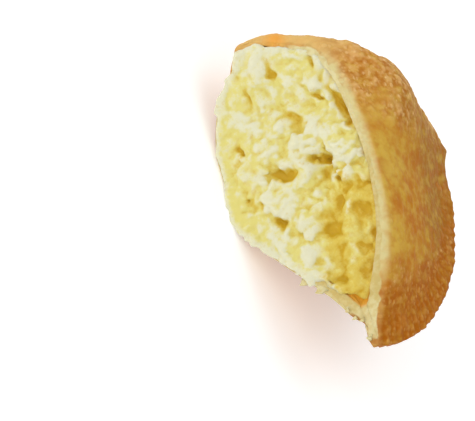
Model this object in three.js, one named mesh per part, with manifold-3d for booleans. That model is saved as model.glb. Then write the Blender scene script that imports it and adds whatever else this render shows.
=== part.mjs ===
// Half of a fried cheese turnover, cut straight across: a half-moon of dough folded over
// at its back, pressed shut with a fork along its round edge, and packed with cheese curds.
//
// Millimetres, +Z up. The cut faces -Y and leans back a little, +X points along it to the
// crimped edge and -X to the fold. The shapes are worked out around the pole, the spot on the
// cut where the turnover is fattest, with the seam at height 0. The finished group is then
// moved so that the origin is the middle of the part on the surface that it lies on.

import * as THREE from 'three';
import { mergeVertices } from 'three/addons/utils/BufferGeometryUtils.js';
import Module from 'manifold-3d';

// The outline, seen from above.
const CUT_LENGTH = 84.3; // crimped edge to fold, along the cut
const REACH = 63.5; // cut to the far corner; also the radius of the crimped arc
const POLE_TO_CRIMP = 48;
const ARC_SWEEP = THREE.MathUtils.degToRad(82); // the corner is where the arc ends
const CORNER_HANDLE = new THREE.Vector2(-27, 57); // the back runs from the corner...
const FOLD_HANDLE = new THREE.Vector2(-33, 24); // ...round to the fold
const CORNER_NUB = 1.2; // the pinched corner stands out this far
const NUB_WIDTH = 1.8;

// Heights above and below the seam.
const DOME = 14.2;
const BELLY = 27.2;
const REST_DEPTH = 26; // the belly is flattened here, where the part lies
const FOLD_DROP = 12.3; // the fold's nose hangs this far under the seam at the cut
const FOLD_DROP_REACH = 56; // and is level with it this far from the cut
const FOLD_BLUNT = 1.4; // half the height of the fold's blunt nose
const FOLD_SLOPE = 0.18; // share of the dome lost between the pole and the fold
const SHOULDER = { height: 4.4, x: -21, y: 23, spreadX: 15, spreadY: 19 }; // bulge by the fold

// The crimped rim.
const RIM = 6;
const EDGE_HALF = 1; // half the thickness of its outer edge
const RIM_UP = 3.6; // height of its inner side above the seam, and depth below it
const RIM_DOWN = 3.4;
const RIM_THINNING = 0.75; // share of those lost by the corner
const FORK_PITCH = 3.4;
const FORK_LENGTH = 9; // length of a fork mark, in from the edge
const FORK_DEPTH_TOP = 0.35;
const FORK_DEPTH_UNDER = 0.65;
const SCALLOP = 0.2; // waviness of the edge between the fork marks

// The cut, and the space for the cheese.
const LEAN = 0.2; // the cut goes back this much for each mm of height
const CRUST = 2.6; // thickness of the dough
const FUSED = 12; // length of solid dough at the crimped edge
const FOLD_CRUST = 3.2; // thickness of the dough at the fold
const FIT_GAP = 0.3; // clearance between the cheese and the crust
const OVERRUN = 5; // the space runs this far out of the cut
const LEAST_HALF = 0.5; // the space is twice this high at its rim

// The uneven front of the cheese.
const LUMP_COUNT = 46;
const LUMP_RADIUS = [3.5, 7];
const LUMP_HEIGHT = [0.8, 2.2];
const LUMP_SEED = 7;
const FRONT_CELL = 2.2; // grid size of the front
const FRONT_SINK = 0.6; // the hollows between lumps lie this far behind the cut

const CRUST_COLOUR = 0xc48a45;
const CHEESE_COLOUR = 0xefe2a8;

// Each row of the outer skin: distance in from the edge, the share of what is left that
// it keeps, and its number of points. Four points span one fork mark.
const EDGE_POINTS = 197;
const SKIN_ROWS = [
  { inset: 0, share: 1, count: EDGE_POINTS },
  { inset: 0.9, share: 1, count: EDGE_POINTS },
  { inset: 2.8, share: 1, count: EDGE_POINTS },
  { inset: RIM, share: 1, count: EDGE_POINTS },
  { inset: FORK_LENGTH, share: 1, count: 60 },
  { inset: FORK_LENGTH, share: 0.88, count: 52 },
  { inset: FORK_LENGTH, share: 0.75, count: 46 },
  { inset: FORK_LENGTH, share: 0.62, count: 38 },
  { inset: FORK_LENGTH, share: 0.5, count: 30 },
  { inset: FORK_LENGTH, share: 0.3, count: 18 },
  { inset: FORK_LENGTH, share: 0.12, count: 8 },
  { inset: 0, share: 0, count: 1 },
];
const SPACE_ROWS = [
  { share: 1, count: 48 },
  { share: 0.985, count: 48 },
  { share: 0.94, count: 48 },
  { share: 0.86, count: 44 },
  { share: 0.74, count: 38 },
  { share: 0.6, count: 32 },
  { share: 0.44, count: 24 },
  { share: 0.26, count: 14 },
  { share: 0, count: 1 },
];

const clamp01 = (value) => THREE.MathUtils.clamp(value, 0, 1);
const mix = THREE.MathUtils.lerp;

// The plan outline, from the crimped end of the cut round to its folded end.
function planOutline() {
  const centre = POLE_TO_CRIMP - REACH;
  const arc = new THREE.EllipseCurve(centre, 0, REACH, REACH, 0, ARC_SWEEP);
  const corner = arc.getPoint(1);
  const fold = new THREE.Vector2(POLE_TO_CRIMP - CUT_LENGTH, 0);
  const path = new THREE.CurvePath();
  path.add(arc);
  path.add(new THREE.CubicBezierCurve(corner, CORNER_HANDLE, FOLD_HANDLE, fold));
  path.arcLengthDivisions = 400;
  return path;
}

const outline = planOutline();
const ARC_LENGTH = REACH * ARC_SWEEP;
const OUTLINE_LENGTH = outline.getLength();

// What the surface needs to know about the outline at share u of its length.
function stationAt(u) {
  const edge = outline.getPointAt(u);
  const along = u * OUTLINE_LENGTH;
  const length = edge.length();
  const crimp = THREE.MathUtils.smoothstep(ARC_LENGTH + 6 - along, 0, 26);
  const wave = 0.5 - 0.5 * Math.cos((2 * Math.PI * along) / FORK_PITCH);
  const nub = CORNER_NUB * Math.exp(-(((along - ARC_LENGTH) / NUB_WIDTH) ** 2));
  const back = clamp01(edge.y / REACH);
  return { edge, length, crimp, wave, nub, back };
}

// Heights of the upper and lower skin at share rho of the way from the pole to the edge.
function heightsAt(station, rho) {
  const { edge, length, crimp, wave, back } = station;
  const rimStart = 1 - RIM / length;
  const inner = Math.min(rho / rimStart, 1);
  const onRim = clamp01((1 - rho) / (1 - rimStart));
  const thin = 1 - RIM_THINNING * back;
  const rimUp = mix(EDGE_HALF, RIM_UP * thin, onRim);
  const rimDown = mix(EDGE_HALF, RIM_DOWN * thin, onRim);
  const domeShape = Math.max(1 - inner ** (2.2 - 0.5 * back), 0) ** (1.05 + 0.25 * back);
  const bellyShape = Math.max(1 - inner ** (1.8 + 2.7 * back ** 1.4), 0) ** (1.7 - 0.4 * back);
  const crimpTop = mix(rimUp, DOME, domeShape);
  const crimpBottom = -mix(rimDown, BELLY, bellyShape);

  const nose = -FOLD_DROP * clamp01(1 - edge.y / FOLD_DROP_REACH);
  const farBack = THREE.MathUtils.smoothstep(back, 0.5, 1);
  const topPower = 7 - 3.5 * back - 1.5 * farBack;
  const foldRound = Math.max(1 - rho ** topPower, 0) ** (0.5 + 0.5 * farBack);
  const foldTop = nose + FOLD_BLUNT + (DOME - nose - FOLD_BLUNT) * (1 - FOLD_SLOPE * rho) * foldRound;
  const foldBelly = Math.max(1 - rho ** (2.2 + 2.3 * back ** 1.4), 0);
  const foldBottom = nose - FOLD_BLUNT - (BELLY + nose - FOLD_BLUNT) * foldBelly;

  const x = edge.x * rho;
  const y = edge.y * rho;
  const offX = (x - SHOULDER.x) / SHOULDER.spreadX;
  const offY = (y - SHOULDER.y) / SHOULDER.spreadY;
  const inside = clamp01((1 - rho) * 6) ** 0.7;
  const shoulder = SHOULDER.height * Math.exp(-(offX ** 2) - offY ** 2) * inside;

  const inward = (1 - rho) * length;
  const mark = crimp * wave * THREE.MathUtils.smoothstep(FORK_LENGTH - inward, 0, FORK_LENGTH / 2);
  const top = mix(foldTop, crimpTop, crimp) + shoulder - FORK_DEPTH_TOP * mark;
  const bottom = mix(foldBottom, crimpBottom, crimp) + FORK_DEPTH_UNDER * mark;
  return { top, bottom: Math.max(bottom, -REST_DEPTH) };
}

// A point of the part: the cut plane leans back, and the lean fades away from the cut.
function leaned(x, y, z) {
  const fade = clamp01(1 - Math.max(y, 0) / REACH) ** 2;
  return [x, y + LEAN * z * fade, z];
}

// The crust's outer skin.
function skinPoint(station, row) {
  const rho = row.share * (1 - row.inset / station.length);
  const { top, bottom } = heightsAt(station, rho);
  const nearEdge = rho ** 10;
  const scallop = -SCALLOP * station.crimp * station.wave;
  const stretch = rho + ((scallop + station.nub) * nearEdge) / station.length;
  return { x: station.edge.x * stretch, y: station.edge.y * stretch, top, bottom };
}

// The space inside the crust: it follows the skin at the dough's thickness, measured square
// to the slope, and closes towards the fused edge and the fold. clearance makes it smaller.
function spacePoint(station, row, clearance) {
  const border = mix(FOLD_CRUST, FUSED, station.crimp) + clearance;
  const rhoLimit = 1 - border / station.length;
  const rho = row.share * rhoLimit;
  const here = heightsAt(station, rho);
  const step = 0.01;
  const next = heightsAt(station, rho + step);
  const run = step * station.length;
  const wall = CRUST + clearance;
  const slopeTop = Math.min(Math.hypot(1, (next.top - here.top) / run), 1.8);
  const slopeBottom = Math.min(Math.hypot(1, (next.bottom - here.bottom) / run), 1.8);
  const high = here.top - wall * slopeTop;
  const low = here.bottom + wall * slopeBottom;
  const middle = (high + low) / 2;
  const closing = Math.max(1 - row.share ** 5, 0) ** 0.5;
  const half = Math.max(((high - low) / 2) * closing, LEAST_HALF - clearance);
  const x = station.edge.x * rho;
  return { x, y: station.edge.y * rho, top: middle + half, bottom: middle - half };
}

// Collects vertices and triangles of one closed body.
class Body {
  constructor() {
    this.vertices = [];
    this.triangles = [];
  }

  vertex(point) {
    this.vertices.push(...point);
    return this.vertices.length / 3 - 1;
  }

  triangle(a, b, c, flip = false) {
    if (flip) {
      this.triangles.push(a, c, b);
    } else {
      this.triangles.push(a, b, c);
    }
  }

  // Joins an outer row of points to the next row in, whatever their numbers of points.
  stitch(outer, inner, flip) {
    let i = 0;
    let j = 0;
    while (i < outer.length - 1 || j < inner.length - 1) {
      const nextOuter = (i + 1) / Math.max(outer.length - 1, 1);
      const nextInner = (j + 1) / Math.max(inner.length - 1, 1);
      const stepOuter = j === inner.length - 1 || (i < outer.length - 1 && nextOuter <= nextInner);
      if (stepOuter) {
        this.triangle(inner[j], outer[i], outer[i + 1], flip);
        i += 1;
      } else {
        this.triangle(inner[j], outer[i], inner[j + 1], flip);
        j += 1;
      }
    }
  }

  // Joins two chains of equally many points.
  strip(first, second) {
    for (let i = 0; i < first.length - 1; i += 1) {
      this.triangle(first[i], first[i + 1], second[i + 1]);
      this.triangle(first[i], second[i + 1], second[i]);
    }
  }

  geometry() {
    const geometry = new THREE.BufferGeometry();
    geometry.setAttribute('position', new THREE.Float32BufferAttribute(this.vertices, 3));
    geometry.setIndex(this.triangles);
    return mergeVertices(geometry, 1e-4);
  }
}

// A pillow cut across its middle: upper and lower skins over the rows, joined round the
// edge, closed by a flat face at the cut, which can stand out past it by overhang.
function pillow(rows, pointOf, overhang = 0) {
  const body = new Body();
  const upper = [];
  const lower = [];
  for (const row of rows) {
    const upperRow = [];
    const lowerRow = [];
    for (let i = 0; i < row.count; i += 1) {
      const station = stationAt(i / Math.max(row.count - 1, 1));
      const point = pointOf(station, row);
      upperRow.push(body.vertex(leaned(point.x, point.y, point.top)));
      lowerRow.push(body.vertex(leaned(point.x, point.y, point.bottom)));
    }
    upper.push(upperRow);
    lower.push(lowerRow);
  }
  for (let k = 0; k < rows.length - 1; k += 1) {
    body.stitch(upper[k], upper[k + 1], false);
    body.stitch(lower[k], lower[k + 1], true);
  }
  body.strip(upper[0].toReversed(), lower[0].toReversed());

  let upperCut = cutChain(upper);
  let lowerCut = cutChain(lower);
  if (overhang > 0) {
    const upperOut = upperCut.map((index) => shiftedCopy(body, index, overhang));
    const lowerOut = lowerCut.map((index) => shiftedCopy(body, index, overhang));
    body.strip(upperOut.toReversed(), upperCut.toReversed());
    body.strip(lowerOut, lowerCut);
    const last = upperCut.length - 1;
    body.strip([upperCut[0], upperOut[0]], [lowerCut[0], lowerOut[0]]);
    body.strip([upperOut[last], upperCut[last]], [lowerOut[last], lowerCut[last]]);
    upperCut = upperOut;
    lowerCut = lowerOut;
  }
  body.strip(upperCut, lowerCut);
  return body.geometry();
}

// The points of a skin that lie on the cut, from the crimped edge over the pole to the fold.
function cutChain(rows) {
  const starts = rows.map((row) => row[0]);
  const ends = rows.slice(0, -1).map((row) => row[row.length - 1]);
  return [...starts, ...ends.toReversed()];
}

function shiftedCopy(body, index, distance) {
  const [x, y, z] = body.vertices.slice(3 * index, 3 * index + 3);
  return body.vertex([x, y - distance, z]);
}

// A small repeatable random number generator.
function randomFrom(seed) {
  let state = seed;
  return () => {
    state = (state * 1664525 + 1013904223) % 4294967296;
    return state / 4294967296;
  };
}

// Round lumps over the face of the cut.
function scatterLumps() {
  const random = randomFrom(LUMP_SEED);
  const lumps = [];
  for (let i = 0; i < LUMP_COUNT; i += 1) {
    const x = mix(POLE_TO_CRIMP - CUT_LENGTH, POLE_TO_CRIMP, random());
    const z = mix(-REST_DEPTH, DOME, random());
    const radius = mix(...LUMP_RADIUS, random());
    const height = mix(...LUMP_HEIGHT, random());
    lumps.push({ x, z, radius, height });
  }
  return lumps;
}

// How far the cheese stands out of the cut at x, z.
function frontAt(lumps, x, z) {
  let front = -FRONT_SINK;
  for (const lump of lumps) {
    const distance = Math.hypot(x - lump.x, z - lump.z) / lump.radius;
    if (distance < 1) {
      front = Math.max(front, lump.height * Math.sqrt(1 - distance ** 2) - FRONT_SINK);
    }
  }
  return front;
}

// A block behind the lumpy front, large enough to hold all of the cheese.
function lumpyBlock() {
  const lumps = scatterLumps();
  const width = CUT_LENGTH + 10;
  const height = DOME + SHOULDER.height + BELLY + 10;
  const depth = REACH + 20;
  const columns = Math.round(width / FRONT_CELL);
  const layers = Math.round(height / FRONT_CELL);
  const block = new THREE.BoxGeometry(width, height, depth, columns, layers, 1);
  block.rotateX(Math.PI / 2);
  block.translate(POLE_TO_CRIMP - CUT_LENGTH / 2, depth / 2, (DOME + SHOULDER.height - BELLY) / 2);
  const position = block.attributes.position;
  for (let i = 0; i < position.count; i += 1) {
    if (position.getY(i) < 1) {
      const x = position.getX(i);
      const z = position.getZ(i);
      position.setY(i, LEAN * z - frontAt(lumps, x, z));
    }
  }
  block.deleteAttribute('normal');
  block.deleteAttribute('uv');
  return mergeVertices(block, 1e-4);
}

const wasm = await Module();
wasm.setup();

function solidOf(geometry) {
  const vertProperties = new Float32Array(geometry.attributes.position.array);
  const triVerts = new Uint32Array(geometry.index.array);
  return new wasm.Manifold(new wasm.Mesh({ numProp: 3, vertProperties, triVerts }));
}

function geometryOf(solid) {
  const { vertProperties, triVerts } = solid.getMesh();
  const geometry = new THREE.BufferGeometry();
  geometry.setAttribute('position', new THREE.BufferAttribute(vertProperties, 3));
  geometry.setIndex(new THREE.BufferAttribute(triVerts, 1));
  return geometry;
}

function makeCrust() {
  const skin = solidOf(pillow(SKIN_ROWS, skinPoint));
  const space = solidOf(pillow(SPACE_ROWS, (station, row) => spacePoint(station, row, 0), OVERRUN));
  const material = new THREE.MeshStandardMaterial({ color: CRUST_COLOUR, roughness: 0.55, metalness: 0 });
  const mesh = new THREE.Mesh(geometryOf(skin.subtract(space)), material);
  mesh.name = 'crust';
  return mesh;
}

function makeFilling() {
  const fitted = (station, row) => spacePoint(station, row, FIT_GAP);
  const space = solidOf(pillow(SPACE_ROWS, fitted, OVERRUN));
  const block = solidOf(lumpyBlock());
  const material = new THREE.MeshStandardMaterial({ color: CHEESE_COLOUR, roughness: 0.6, metalness: 0 });
  const mesh = new THREE.Mesh(geometryOf(space.intersect(block)), material);
  mesh.name = 'filling';
  return mesh;
}

const turnover = new THREE.Group();
turnover.add(makeCrust(), makeFilling());
const box = new THREE.Box3().setFromObject(turnover);
const middle = box.getCenter(new THREE.Vector3());
turnover.position.set(-middle.x, -middle.y, -box.min.z);

export default turnover;
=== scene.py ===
"""Half of a fried cheese turnover, cut straight across: a blistered golden crust, pressed
shut along its round edge, round a soft mass of melted cheese curds and shreds.

Shapes are worked out in millimetres around the pole, the spot on the cut where the turnover
is fattest: x along the cut towards the crimped edge, y away from the cut, z up from the seam.
"""
import math

import bpy
import numpy as np
from bpy.props import FloatProperty, FloatVectorProperty, IntProperty, PointerProperty
from bpy.types import Operator, Panel, PropertyGroup
from mathutils import Matrix, Vector
from mathutils.kdtree import KDTree


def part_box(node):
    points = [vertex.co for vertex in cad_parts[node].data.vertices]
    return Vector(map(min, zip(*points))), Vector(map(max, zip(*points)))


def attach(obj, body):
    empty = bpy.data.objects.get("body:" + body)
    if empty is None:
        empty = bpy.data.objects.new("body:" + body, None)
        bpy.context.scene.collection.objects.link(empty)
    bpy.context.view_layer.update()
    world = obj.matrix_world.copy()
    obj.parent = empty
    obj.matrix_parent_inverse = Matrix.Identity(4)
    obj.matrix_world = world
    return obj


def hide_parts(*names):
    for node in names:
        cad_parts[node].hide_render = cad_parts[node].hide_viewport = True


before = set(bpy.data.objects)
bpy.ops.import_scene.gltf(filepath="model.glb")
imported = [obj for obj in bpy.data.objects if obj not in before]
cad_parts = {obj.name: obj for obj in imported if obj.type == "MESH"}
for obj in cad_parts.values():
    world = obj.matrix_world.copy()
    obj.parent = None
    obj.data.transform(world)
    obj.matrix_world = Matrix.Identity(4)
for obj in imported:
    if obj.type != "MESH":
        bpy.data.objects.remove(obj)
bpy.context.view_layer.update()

CRUST_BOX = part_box("crust")
MM = 0.001
CRUST_LENGTH = (CRUST_BOX[1][0] - CRUST_BOX[0][0]) / MM
BODY = "root"

bl_info = {
    "name": "Fried Cheese Turnover",
    "version": (1, 0, 0),
    "blender": (4, 5, 0),
    "location": "View3D > Sidebar > Turnover",
    "description": "Builds a cut half of a fried turnover with its cheese filling",
    "category": "Add Mesh",
}


def from_screen(red, green, blue):
    """A colour given as 0 to 255 on a screen, in scene linear values."""
    def linear(value):
        share = value / 255
        return share / 12.92 if share <= 0.04045 else ((share + 0.055) / 1.055) ** 2.4

    return tuple(linear(value) for value in (red, green, blue))


def length_prop(name, text, millimetres):
    """A length that the user can change, given here in millimetres."""
    return FloatProperty(name=name, description=text, default=millimetres * MM, unit="LENGTH", precision=5)


def count_prop(name, text, number):
    """A number of things that the user can change."""
    return IntProperty(name=name, description=text, default=number, min=0)


def colour_prop(name, text, colour):
    """A colour that the user can change, given here as it looks on a screen."""
    return FloatVectorProperty(
        name=name, description=text, default=from_screen(*colour), subtype="COLOR", min=0.0, max=1.0
    )


class TurnoverShape(PropertyGroup):
    """Sizes of the whole half, which match the solids of the frame."""

    cut_length: length_prop("Cut length", "Crimped edge to fold, along the cut", CRUST_LENGTH)
    reach: length_prop("Reach", "Radius of the crimped arc", 63.5)
    pole_to_crimp: length_prop("Pole to crimp", "Fattest spot to the crimped edge", 48)
    arc_sweep: FloatProperty(
        name="Arc sweep", description="Angle of the crimped arc, from the cut to the corner",
        default=math.radians(82), subtype="ANGLE",
    )
    dome: length_prop("Dome", "Height of the upper side above the seam", 14.2)
    belly: length_prop("Belly", "Depth of the lower side below the seam", 27.2)
    rest_depth: length_prop("Rest depth", "The belly is flattened this far below the seam", 26)
    fold_drop: length_prop("Fold drop", "How far the fold hangs under the seam at the cut", 12.3)
    rim: length_prop("Rim", "Width of the crimped rim", 6)
    rim_up: length_prop("Rim height", "Height of the rim's inner side above the seam", 3.6)
    rim_down: length_prop("Rim depth", "Depth of the rim's inner side below the seam", 3.4)
    edge_half: length_prop("Edge half", "Half the thickness of the rim's outer edge", 1)
    fork_pitch: length_prop("Fork pitch", "Distance between the marks of the fork", 3.4)
    fork_length: length_prop("Fork mark", "Length of a fork mark, in from the edge", 9)
    crust: length_prop("Crust", "Thickness of the dough", 2.6)
    fused: length_prop("Fused edge", "Length of solid dough at the crimped edge", 12)
    lean: FloatProperty(name="Lean", description="How far the cut leans back for its height", default=0.2)


class CrustLook(PropertyGroup):
    """Colours and blisters of the fried dough, with painted shade on the skin far from the cut."""

    golden: colour_prop("Golden", "Main colour of the fried skin", (192, 140, 38))
    ochre: colour_prop("Ochre", "Yellower skin near the cut", (207, 170, 68))
    tan: colour_prop("Tan", "Redder skin by the fold and the back", (202, 147, 70))
    toasted: colour_prop("Toasted", "Skin that browned most, at the crimped edge", (163, 89, 2))
    # Painted shade: the skin is darkened towards the far rim, away from the cut.
    distant: colour_prop("Skin far from the cut", "Skin towards the far rim", (153, 102, 34))
    blotch: colour_prop("Blotch", "Orange brown spots all over", (182, 104, 12))
    glow: colour_prop("Glow", "Skin that rolls over the cut at the fold", (234, 166, 74))
    roll: colour_prop("Fold", "Skin that rolls over the fold at the cut", (220, 182, 112))
    pale: colour_prop("Pale", "Skin just beside the cut", (211, 197, 140))
    blister: colour_prop("Blister", "Thin tops of the blisters", (232, 190, 128))
    crumb: colour_prop("Crumb", "Inside of the dough, seen on the cut", (216, 205, 156))
    crumb_dark: colour_prop("Crumb shade", "Denser, moister dough on the cut", (197, 176, 110))
    moist: colour_prop("Moist", "Inner side of the dough, soaked by the cheese", (214, 148, 40))
    small_blisters: count_prop("Small blisters", "Number of small blisters", 1500)
    large_blisters: count_prop("Large blisters", "Number of large blisters", 60)
    flakes: count_prop("Flakes", "Number of torn shreds at the cut", 9)


class CheeseLook(PropertyGroup):
    """Colours and coarseness of the cheese: the white is partly painted light on the curds that stand out,
    and the yellow and the ochre are painted shade in the hollows.
    """

    # Painted light in part: curds that stand out are made whiter than the mass.
    white: colour_prop("White", "Curds that stand out", (218, 216, 187))
    cream: colour_prop("Cream", "The mass between them", (217, 207, 123))
    # Painted shade: the yellow and the ochre darken the sides and the depths of the hollows.
    yellow: colour_prop("Yellow", "Sides of the hollows", (210, 185, 78))
    ochre: colour_prop("Ochre", "Depths of the hollows", (198, 159, 30))
    grain: length_prop("Grain", "Grid on which the cheese is worked out", 0.3)
    lumps: count_prop("Lumps", "Number of large lumps at the cut", 50)
    curds: count_prop("Curds", "Number of small curds on them", 800)


class StageLook(PropertyGroup):
    """The floor and the lights."""

    floor: colour_prop("Floor", "Colour of the floor", (246, 246, 246))
    floor_size: length_prop("Floor size", "Side of the floor", 6000)


# ---------------------------------------------------------------------------------------
# Numbers


# Seeds of the noises and of the random draws.
SKIN_SEED, CUT_SEED, SPILL_SEED, CHEESE_SEED, BEND_SEED = 3, 14, 8, 5, 6
LUMP_SEED, FLAKE_SEED = 21, 33


def smoothstep(value, low, high):
    """0 up to low, 1 from high on, and smooth between."""
    share = np.clip((value - low) / (high - low), 0.0, 1.0)
    return share * share * (3.0 - 2.0 * share)


def mix(a, b, share):
    """From a to b, as the share goes from 0 to 1."""
    return a + (b - a) * share


def softplus(value):
    """The larger of value and 0, with a soft turn from one to the other."""
    return np.log1p(np.exp(-np.abs(value))) + np.maximum(value, 0.0)


def hill(*away):
    """1 in the middle and 0 far off, for distances that are counted in the hill's widths."""
    return np.exp(-sum(part**2 for part in away))


def unit(vector):
    """The vector at a length of 1."""
    return vector / np.linalg.norm(vector)


class Noise:
    """Smooth repeatable noise in space, between about -1 and 1."""

    MASK = 255
    FINER_SHIFT = np.array([19.1, 7.7, 3.3])

    def __init__(self, seed):
        random = np.random.default_rng(seed)
        self.order = random.permutation(self.MASK + 1)
        self.values = random.uniform(-1.0, 1.0, self.MASK + 1)

    def lattice(self, x, y, z):
        """The random values at the corners of the cells."""
        order, mask = self.order, self.MASK
        return self.values[order[(order[(order[x & mask] + y) & mask] + z) & mask]]

    def __call__(self, points, size):
        """points is an array of x, y, z rows, and size is that of one swell."""
        scaled = points / size
        cell = np.floor(scaled).astype(np.int64)
        part = scaled - cell
        part = part * part * (3.0 - 2.0 * part)
        total = np.zeros(len(points))
        for corner in range(8):
            step = np.array([corner & 1, corner >> 1 & 1, corner >> 2 & 1])
            weight = np.where(step == 1, part, 1.0 - part).prod(axis=1)
            total += weight * self.lattice(*(cell + step).T)
        return total

    def rough(self, points, size):
        """Noise with two finer and fainter copies of itself on top."""
        total = np.zeros(len(points))
        for octave in range(3):
            total += self(points + self.FINER_SHIFT * octave, size / 2**octave) / 2**octave
        return total


# ---------------------------------------------------------------------------------------
# The turnover's form


class Turnover:
    """The outline and the heights of the skin, as the solids have them."""

    OUTLINE_POINTS = 900
    FOLD_BLUNT = 1.4  # half the height of the fold's blunt nose
    FOLD_SLOPE = 0.18  # the upper side falls by this share towards the fold
    FOLD_DROP_REACH = 56  # the fold hangs less and less, up to this far from the cut
    FOLD_CRUST = 3.2  # dough at the fold
    RIM_THINNING = 0.75  # the rim is thinner at the back by this share
    LEAST_HALF = 0.5  # half the least height of the space inside
    # Handles of the curve that the outline follows from the corner to the fold.
    CORNER_HANDLE = (-27.0, 57.0)
    FOLD_HANDLE = (-33.0, 24.0)
    # Where the crimped arc ends, a nub stands out of the outline.
    CORNER_NUB = 1.2
    NUB_WIDTH = 1.8
    SCALLOP = 0.12  # how far the rim's edge is drawn in at a fork mark
    FORK_DEPTH_TOP = 0.16
    FORK_DEPTH_UNDER = 0.65
    # Humps in the upper side: height, x, y and its spread along both.
    HUMPS = (
        (4.4, -21.0, 23.0, 15.0, 19.0),
        (2.3, -28.0, 9.0, 6.0, 6.0),
        (0.8, -33.0, 2.0, 4.0, 6.0),
        (1.2, -23.0, 14.0, 5.0, 6.0),
    )
    # Where the rim is pulled in beside the corner, and pinched from below at the cut.
    CORNER_DENT = 2.3
    DENT_BACK = 7.0
    DENT_WIDTH = 7.0
    PINCH = 2.2
    PINCH_X = 42.5
    PINCH_WIDTH = 2.4
    PINCH_REACH = 3.0
    # The crimp ends this far past the arc, and fades over this much.
    CRIMP_END = 6
    CRIMP_FADE = 26
    # Round sides from the pole to the rim: two powers at the cut, each with what it gains
    # towards the back.
    DOME_ROUND = (2.2, -0.5, 1.05, 0.25)
    BELLY_ROUND = (1.8, 2.7, 1.7, -0.4)
    FOLD_ROUND = (2.2, 2.3, 1, 0)
    BACK_BEND = 1.4  # how late the lower side turns into that of the back
    HUMP_FADE = 6  # the humps fade out this fast at the rim
    # On a steep side the wall is measured square to the skin, up to this much thicker.
    STEEPEST = 1.8
    SLOPE_STEP = 0.01
    CLOSING = 5  # how bluntly the space inside closes at its edge

    def __init__(self, sizes):
        for name in sizes.__annotations__:
            value = getattr(sizes, name)
            setattr(self, name, value if name in ("arc_sweep", "lean") else value / MM)
        self.place = np.array([
            CRUST_BOX[1][0] / MM - self.pole_to_crimp,
            CRUST_BOX[0][1] / MM + self.lean * self.rest_depth,
            self.rest_depth,
        ])
        self.make_outline()

    def make_outline(self):
        """The outline from the crimped end of the cut round to the fold, and what changes
        along it."""
        centre = self.pole_to_crimp - self.reach
        turn = np.linspace(0.0, self.arc_sweep, self.OUTLINE_POINTS)
        arc = np.stack([centre + self.reach * np.cos(turn), self.reach * np.sin(turn)], axis=1)
        t = np.linspace(0.0, 1.0, self.OUTLINE_POINTS)[1:, None]
        handles = np.array([self.CORNER_HANDLE, self.FOLD_HANDLE])
        fold = np.array([self.pole_to_crimp - self.cut_length, 0.0])
        back = (1 - t) ** 3 * arc[-1] + 3 * (1 - t) ** 2 * t * handles[0]
        back += 3 * (1 - t) * t**2 * handles[1] + t**3 * fold
        edge = np.concatenate([arc, back])
        along = distances(edge)
        self.arc_length = self.reach * self.arc_sweep
        past_arc = along - self.arc_length
        self.edge = edge
        self.turn = np.arctan2(edge[:, 1], edge[:, 0])
        self.table = {
            "length": np.hypot(edge[:, 0], edge[:, 1]),
            "edge_y": edge[:, 1],
            "along": along,
            "crimp": smoothstep(self.arc_length + self.CRIMP_END - along, 0, self.CRIMP_FADE),
            "wave": 0.5 - 0.5 * np.cos(2 * np.pi * along / self.fork_pitch),
            "nub": self.CORNER_NUB * hill(past_arc / self.NUB_WIDTH)
            - self.CORNER_DENT * hill((past_arc + self.DENT_BACK) / self.DENT_WIDTH),
            "back": np.clip(edge[:, 1] / self.reach, 0, 1),
        }
        border = mix(self.FOLD_CRUST, self.fused, self.table["crimp"])
        limit = 1 - border / self.table["length"]
        self.table["limit"] = limit
        self.inner_edge = edge * limit[:, None]

    def station(self, x, y):
        """What the surface needs to know about the outline, straight out from the pole."""
        turn = np.arctan2(y, x)
        found = {name: np.interp(turn, self.turn, values) for name, values in self.table.items()}
        found["rho"] = np.hypot(x, y) / found["length"]
        return found

    @staticmethod
    def rounded(rho, back, bent, powers):
        """A round side: 1 at the pole and 0 at the rim."""
        power, power_gain, end, end_gain = powers
        return np.maximum(1 - rho ** (power + power_gain * bent), 0) ** (end + end_gain * back)

    def heights(self, x, y, station=None, rho=None):
        """Heights of the upper and the lower skin."""
        at = station or self.station(x, y)
        rho = at["rho"] if rho is None else rho
        back, crimp, length = at["back"], at["crimp"], at["length"]
        rim_start = 1 - self.rim / length
        inner = np.minimum(rho / rim_start, 1)
        on_rim = np.clip((1 - rho) / (1 - rim_start), 0, 1)
        thin = 1 - self.RIM_THINNING * back
        rim_up = mix(self.edge_half, self.rim_up * thin, on_rim)
        rim_down = mix(self.edge_half, self.rim_down * thin, on_rim)
        bent = back**self.BACK_BEND
        crimp_top = mix(rim_up, self.dome, self.rounded(inner, back, back, self.DOME_ROUND))
        crimp_bottom = -mix(rim_down, self.belly, self.rounded(inner, back, bent, self.BELLY_ROUND))

        blunt = self.FOLD_BLUNT
        nose = -self.fold_drop * np.clip(1 - at["edge_y"] / self.FOLD_DROP_REACH, 0, 1)
        far_back = smoothstep(back, 0.5, 1)
        power = 7 - 3.5 * back - 1.5 * far_back
        fold_round = np.maximum(1 - rho**power, 0) ** (0.5 + 0.5 * far_back)
        fold_top = nose + blunt + (self.dome - nose - blunt) * (1 - self.FOLD_SLOPE * rho) * fold_round
        fold_belly = self.rounded(rho, back, bent, self.FOLD_ROUND)
        fold_bottom = nose - blunt - (self.belly + nose - blunt) * fold_belly

        inside = np.clip((1 - rho) * self.HUMP_FADE, 0, 1) ** 0.7
        humps = 0.0
        for height, hump_x, hump_y, spread_x, spread_y in self.HUMPS:
            humps = humps + height * hill((x - hump_x) / spread_x, (y - hump_y) / spread_y) * inside

        inward = (1 - rho) * length
        mark = crimp * at["wave"] * smoothstep(self.fork_length - inward, 0, self.fork_length / 2)
        top = mix(fold_top, crimp_top, crimp) + humps - self.FORK_DEPTH_TOP * mark
        bottom = mix(fold_bottom, crimp_bottom, crimp) + self.FORK_DEPTH_UNDER * mark
        pinch = hill((x - self.PINCH_X) / self.PINCH_WIDTH, y / self.PINCH_REACH)
        bottom = bottom + self.PINCH * pinch
        return top, np.maximum(bottom, -self.rest_depth)

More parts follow.
